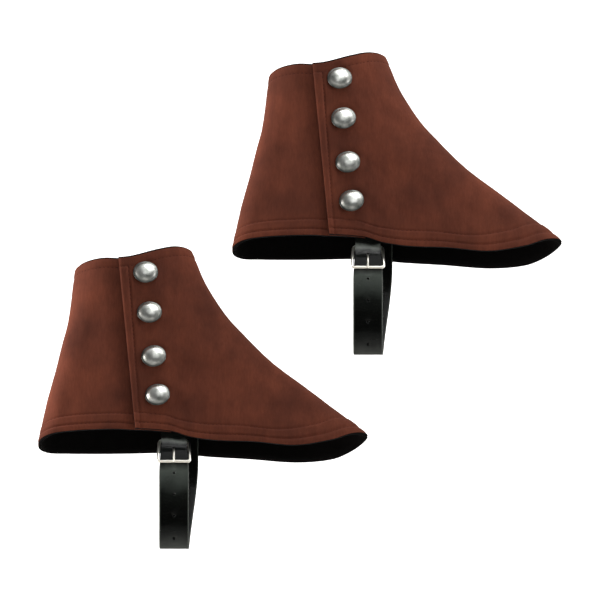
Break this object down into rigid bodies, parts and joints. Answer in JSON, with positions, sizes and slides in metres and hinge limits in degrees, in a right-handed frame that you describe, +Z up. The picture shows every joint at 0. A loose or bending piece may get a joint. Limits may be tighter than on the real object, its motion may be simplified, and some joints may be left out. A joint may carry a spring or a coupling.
{
  "type": "pair of spats",
  "caption": "Pair of brushed wool ankle spats with a black lining, domed snaps down the outer side and a buckled leather strap under each shoe.",
  "frame": {"origin": "centre of the lower spat's ankle opening, where the leg holds it", "axes": "+X to the toe, -Y the outer side with the snaps and buckle, +Z up the leg"},
  "size_m": [0.3749, 0.0599, 0.3783],
  "materials": {
    "wool": "brushed wool cloth, dark red brown",
    "lining": "matte black cotton",
    "leather": "smooth black leather, glossy",
    "snap": "antiqued silver, darkened in its hollows",
    "nickel": "polished nickel plate"
  },
  "bodies": {
    "root": {"spat_a_outer_front": "wool", "spat_a_outer_front_lining": "lining", "spat_a_outer_back": "wool", "spat_a_outer_back_lining": "lining", "spat_a_inner_side": "wool", "spat_a_inner_side_lining": "lining", "spat_a_snap_cap_1": "snap", "spat_a_snap_post_1": "snap", "spat_a_snap_cap_2": "snap", "spat_a_snap_post_2": "snap", "spat_a_snap_cap_3": "snap", "spat_a_snap_post_3": "snap", "spat_a_snap_cap_4": "snap", "spat_a_snap_post_4": "snap", "spat_a_strap": "leather", "spat_a_buckle_tab": "leather", "spat_a_buckle_frame": "nickel", "spat_a_buckle_prong": "nickel", "spat_b_outer_front": "wool", "spat_b_outer_front_lining": "lining", "spat_b_outer_back": "wool", "spat_b_outer_back_lining": "lining", "spat_b_inner_side": "wool", "spat_b_inner_side_lining": "lining", "spat_b_snap_cap_1": "snap", "spat_b_snap_post_1": "snap", "spat_b_snap_cap_2": "snap", "spat_b_snap_post_2": "snap", "spat_b_snap_cap_3": "snap", "spat_b_snap_post_3": "snap", "spat_b_snap_cap_4": "snap", "spat_b_snap_post_4": "snap", "spat_b_strap": "leather", "spat_b_buckle_tab": "leather", "spat_b_buckle_frame": "nickel", "spat_b_buckle_prong": "nickel"}
  },
  "joints": []
}
